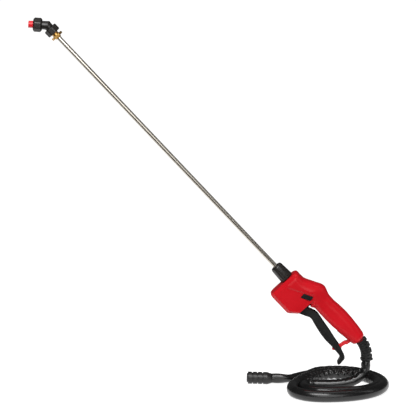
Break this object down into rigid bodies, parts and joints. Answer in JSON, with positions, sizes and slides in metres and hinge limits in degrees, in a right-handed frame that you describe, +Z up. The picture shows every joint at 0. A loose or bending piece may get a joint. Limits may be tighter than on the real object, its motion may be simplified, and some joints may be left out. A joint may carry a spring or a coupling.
{
  "type": "backpack sprayer wand",
  "caption": "Pump sprayer wand: angled nozzle on a long steel lance, pistol handle with lever trigger, lock hook and button, and a sleeved hose lying in a coil.",
  "frame": {"origin": "centre of the hand grip, on the wand's middle plane", "axes": "+Z up, -X towards the nozzle along the ground, Y square to the wand's plane"},
  "size_m": [0.6394, 0.1945, 0.6676],
  "materials": {
    "red_shell": "smooth satin moulded nylon",
    "red_part": "smooth moulded",
    "black_part": "semi-gloss moulded",
    "black_matt": "matt moulded",
    "steel": "drawn stainless tube",
    "brass": "turned brass",
    "screw": "zinc plated",
    "rubber": "moulded rubber",
    "sleeve": "glossy wrinkled vinyl",
    "valve": "moulded acetal",
    "white": "moulded nylon"
  },
  "bodies": {
    "handle": {"housing_left": "red_shell", "housing_right": "red_shell", "housing_screws": "screw", "valve_body": "valve", "valve_plug": "valve", "stem_seal": "rubber", "lance_seal": "rubber", "valve_spring": "steel", "trigger_pin": "screw", "latch_pin": "screw", "button_guide": "black_matt", "button_spring": "steel", "hose_barb": "brass", "inner_hose": "rubber", "hose_clamp": "steel", "strain_relief": "rubber", "hose_drop": "sleeve", "hose_coil": "sleeve", "hose_tail": "sleeve", "end_boot": "rubber", "end_connector": "black_matt"},
    "trigger": {"trigger_lever": "black_part"},
    "plunger": {"valve_stem": "steel", "plunger_boot": "rubber"},
    "latch": {"latch_hook": "red_part"},
    "button": {"lock_button": "black_part"},
    "collar": {"collar_nut": "black_part"},
    "lance": {"lance_tube": "steel", "lance_ferrule": "brass", "tip_adapter": "brass"},
    "elbow_nut": {"elbow_nut": "black_part"},
    "elbow": {"nozzle_elbow": "black_part", "elbow_seal": "rubber"},
    "nozzle": {"nozzle_cap": "black_part", "spray_tip": "red_part", "tip_gasket": "rubber", "tip_strainer": "white"}
  },
  "joints": [
    {"name": "trigger_hinge", "type": "hinge", "parent": "handle", "child": "trigger", "pos_m": [-0.0749, 0, 0.02313], "axis": [0, -1, 0], "range_deg": [0, 7], "stiffness_Nm_per_rad": 8, "springref_deg": -5.73},
    {"name": "plunger_slide", "type": "slide", "parent": "handle", "child": "plunger", "axis": [0.7314, 0, 0.682], "range_m": [0, 0.0018], "deforming": ["valve_spring"]},
    {"name": "latch_hinge", "type": "hinge", "parent": "handle", "child": "latch", "pos_m": [0.02272, 0, -0.03829], "axis": [0, -1, 0], "range_deg": [0, 8], "stiffness_Nm_per_rad": 0.03, "springref_deg": -5.73},
    {"name": "button_slide", "type": "slide", "parent": "handle", "child": "button", "axis": [0, 1, 0], "range_m": [0, 0.0018], "stiffness_N_per_m": 800, "springref_m": -0.001, "deforming": ["button_spring"]},
    {"name": "collar_spin", "type": "hinge", "parent": "handle", "child": "collar", "pos_m": [-0.10246, 0, 0.08494], "axis": [0.682, 0, -0.7314], "continuous": true},
    {"name": "lance_spin", "type": "hinge", "parent": "handle", "child": "lance", "pos_m": [-0.09291, 0, 0.07471], "axis": [0.682, 0, -0.7314], "continuous": true},
    {"name": "elbow_nut_spin", "type": "hinge", "parent": "lance", "child": "elbow_nut", "pos_m": [-0.50211, 0, 0.51352], "axis": [0.682, 0, -0.7314], "continuous": true},
    {"name": "elbow_turn", "type": "hinge", "parent": "lance", "child": "elbow", "pos_m": [-0.50484, 0, 0.51644], "axis": [0.682, 0, -0.7314], "continuous": true},
    {"name": "nozzle_turn", "type": "hinge", "parent": "elbow", "child": "nozzle", "pos_m": [-0.51097, 0, 0.52303], "axis": [-0.9976, 0, 0.0698], "continuous": true}
  ],
  "couplings": [
    {"joint": "plunger_slide", "follows": "trigger_hinge", "m_per_rad": 0.014}
  ]
}
